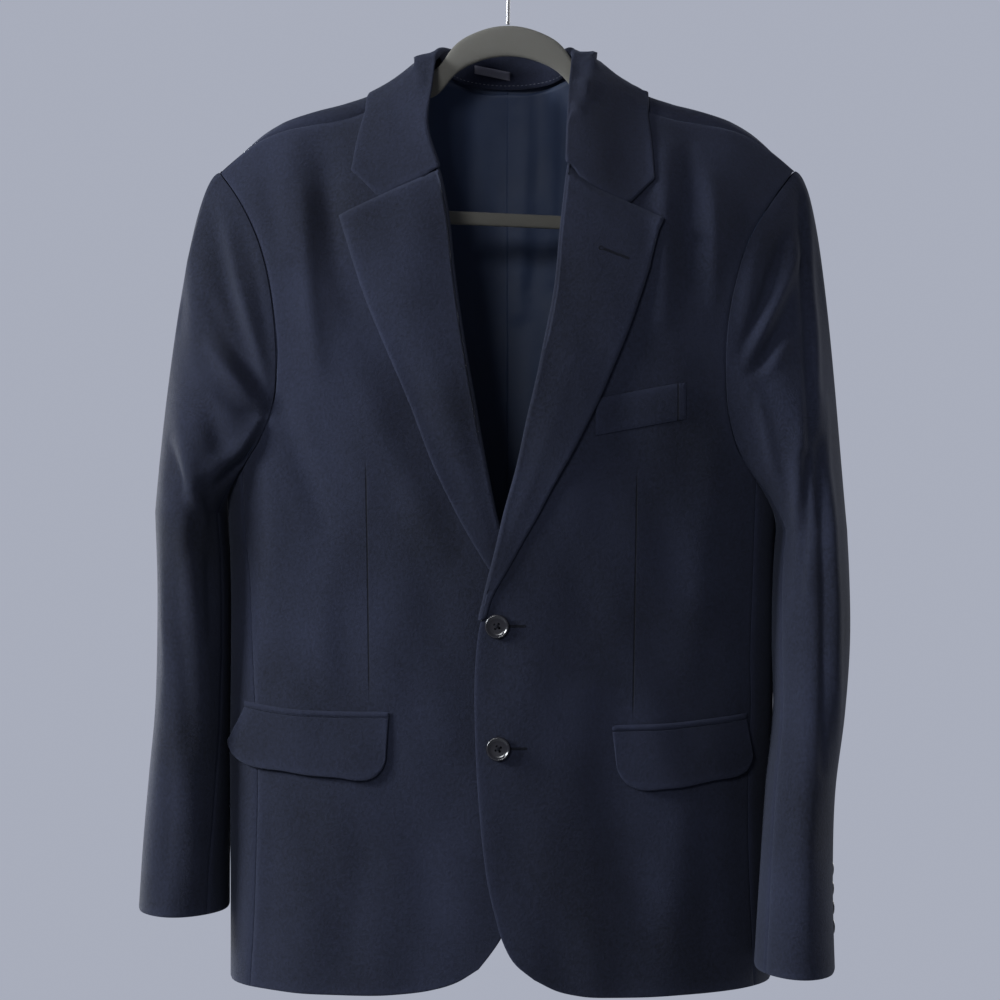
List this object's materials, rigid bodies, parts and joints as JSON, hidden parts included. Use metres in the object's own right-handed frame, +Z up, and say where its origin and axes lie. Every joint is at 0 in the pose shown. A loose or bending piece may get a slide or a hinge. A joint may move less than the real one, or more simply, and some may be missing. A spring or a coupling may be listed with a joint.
{
  "type": "blazer on a hanger",
  "caption": "Navy two-button blazer with notch lapels, flap pockets and a breast welt, buttoned and hanging hollow on a slim flocked hanger with a lower bar.",
  "frame": {"origin": "inside top of the hanger's hook, where it rests on a rail", "axes": "+Z up along the hanging jacket, -Y the way the jacket's front faces, +X towards the wearer's left"},
  "size_m": [0.5983, 0.2123, 0.891],
  "materials": {
    "shell_cloth": "matt navy wool with a fine weave",
    "lining": "navy satin lining",
    "loop_tape": "pale grey tape",
    "buttons": "dark glossy horn look",
    "hanger_flock": "grey flocked",
    "hook_wire": "dark plated wire"
  },
  "bodies": {
    "root": {"front_right": "shell_cloth", "front_left": "shell_cloth", "side_panel_right": "shell_cloth", "side_panel_left": "shell_cloth", "back_right": "shell_cloth", "back_left": "shell_cloth", "sleeve_right_upper": "shell_cloth", "sleeve_right_under": "shell_cloth", "sleeve_left_upper": "shell_cloth", "sleeve_left_under": "shell_cloth", "lapel_right": "shell_cloth", "lapel_left": "shell_cloth", "collar": "shell_cloth", "pocket_flap_right": "shell_cloth", "pocket_flap_left": "shell_cloth", "pocket_jet_right": "shell_cloth", "pocket_jet_left": "shell_cloth", "breast_welt": "shell_cloth", "back_lining": "lining", "neck_loop": "loop_tape", "front_button_upper": "buttons", "front_button_lower": "buttons", "cuff_button_right_1": "buttons", "cuff_button_right_2": "buttons", "cuff_button_right_3": "buttons", "cuff_button_right_4": "buttons", "cuff_button_left_1": "buttons", "cuff_button_left_2": "buttons", "cuff_button_left_3": "buttons", "cuff_button_left_4": "buttons", "hanger": "hanger_flock", "hanger_hook": "hook_wire"}
  },
  "joints": []
}
